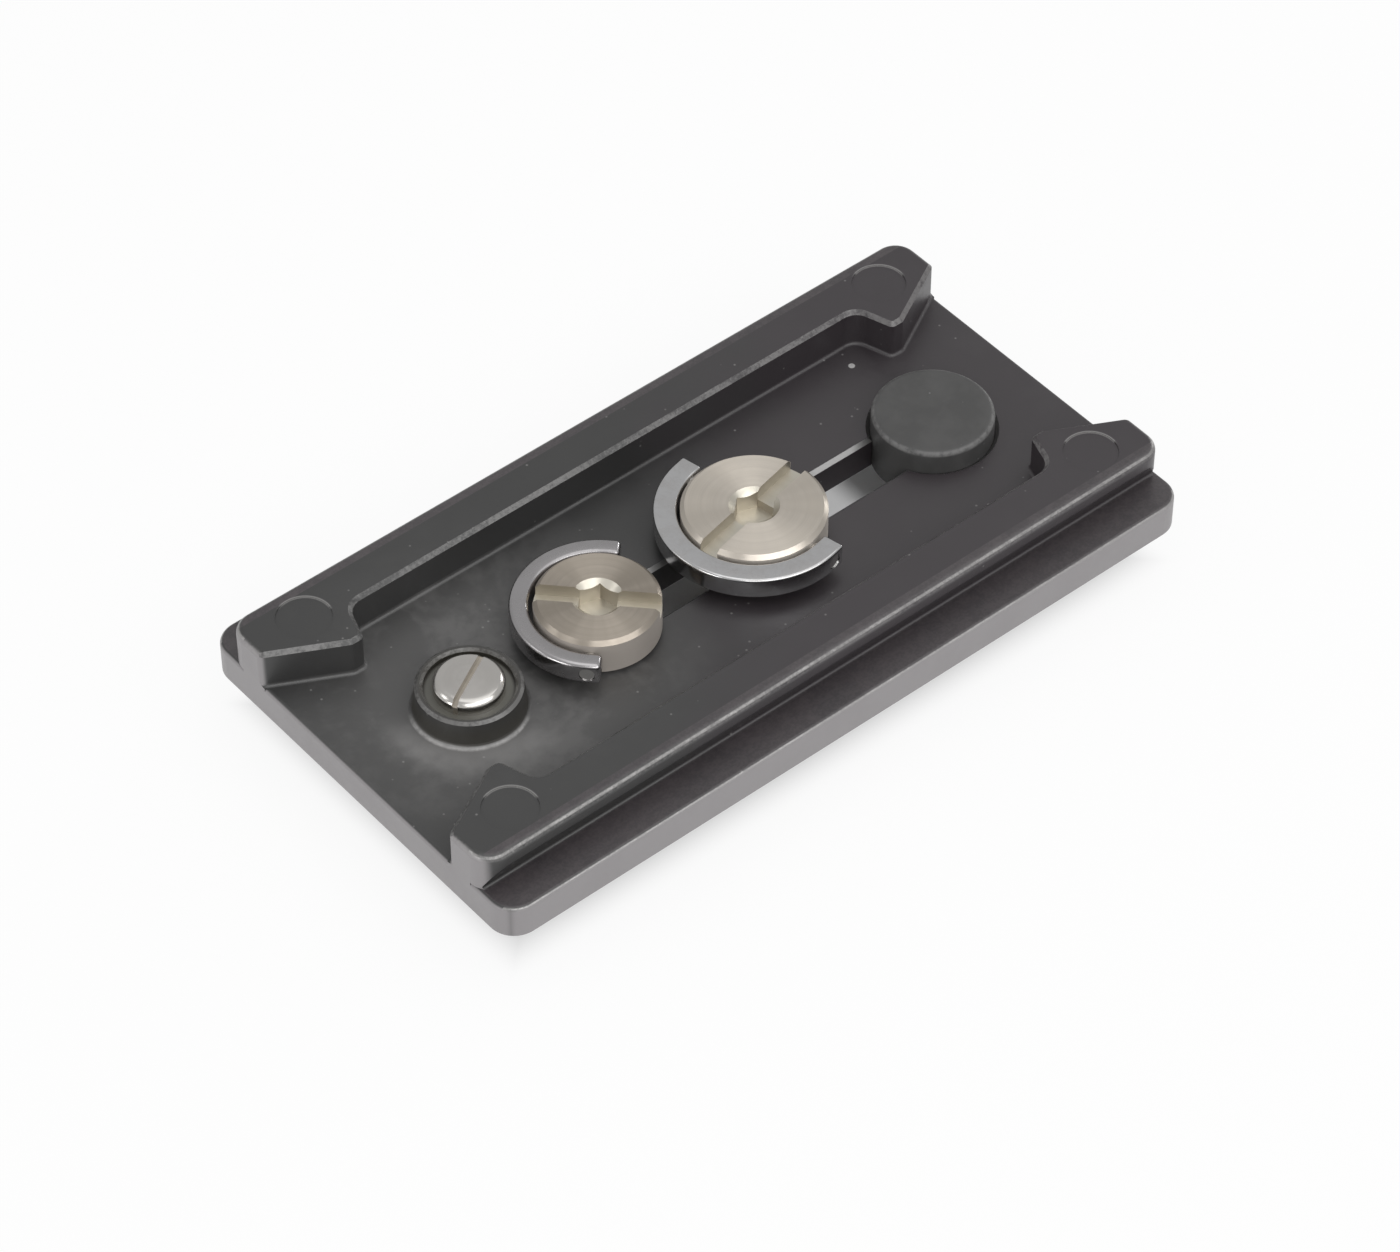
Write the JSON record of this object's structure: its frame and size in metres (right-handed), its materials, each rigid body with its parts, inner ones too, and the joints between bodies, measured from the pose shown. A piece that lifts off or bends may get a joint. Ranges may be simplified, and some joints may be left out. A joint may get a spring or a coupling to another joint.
{
  "type": "tripod quick release plate",
  "caption": "Die-cast sliding camera plate shown tripod side up, with undercut dovetail rails, captive camera screws with folding D-rings, a stop screw and rubber grip pads.",
  "frame": {"origin": "middle of the plate, on the plane of the flanges and of the floor between the rails", "axes": "+X along the plate from the stop screw to the plug, +Y across it, +Z out of the tripod side"},
  "size_m": [0.0918, 0.05, 0.0148],
  "materials": {
    "black_casting": "satin black coat over a die casting, worn at the edges",
    "grip_rubber": "matte ribbed rubber",
    "plug_rubber": "matte moulded rubber",
    "stop_steel": "zinc plated, faintly turned",
    "nickel_screw": "turned and nickel plated",
    "pin_steel": "ground bright",
    "chrome_ring": "bright chrome",
    "black_nylon": "matte moulded nylon"
  },
  "bodies": {
    "plate": {"plate_body": "black_casting", "near_grip_pad": "grip_rubber", "far_grip_pad": "grip_rubber", "slot_plug": "plug_rubber", "stop_screw": "stop_steel"},
    "quarter_washer": {"quarter_washer": "black_nylon"},
    "quarter_screw": {"quarter_screw": "nickel_screw", "quarter_pivot_pins": "pin_steel"},
    "quarter_d_ring": {"quarter_d_ring": "chrome_ring"},
    "three_eighth_washer": {"three_eighth_washer": "black_nylon"},
    "three_eighth_screw": {"three_eighth_screw": "nickel_screw", "three_eighth_pivot_pins": "pin_steel"},
    "three_eighth_d_ring": {"three_eighth_d_ring": "chrome_ring"}
  },
  "joints": [
    {"name": "quarter_slide", "type": "slide", "parent": "plate", "child": "quarter_washer", "axis": [1, 0, 0], "range_m": [-0.0013, 0.0004]},
    {"name": "quarter_spin", "type": "hinge", "parent": "quarter_washer", "child": "quarter_screw", "pos_m": [-0.01425, 0, 0], "axis": [0, 0, 1], "continuous": true},
    {"name": "quarter_ring_fold", "type": "hinge", "parent": "quarter_screw", "child": "quarter_d_ring", "pos_m": [-0.01425, 0, 0.00265], "axis": [0.7193, 0.6947, 0], "range_deg": [0, 180]},
    {"name": "three_eighth_slide", "type": "slide", "parent": "plate", "child": "three_eighth_washer", "axis": [1, 0, 0], "range_m": [-0.0004, 0.0072]},
    {"name": "three_eighth_spin", "type": "hinge", "parent": "three_eighth_washer", "child": "three_eighth_screw", "pos_m": [0.00695, 0, 0], "axis": [0, 0, 1], "continuous": true},
    {"name": "three_eighth_ring_fold", "type": "hinge", "parent": "three_eighth_screw", "child": "three_eighth_d_ring", "pos_m": [0.00695, 0, 0.00265], "axis": [-0.2079, 0.9781, 0], "range_deg": [0, 180]}
  ]
}
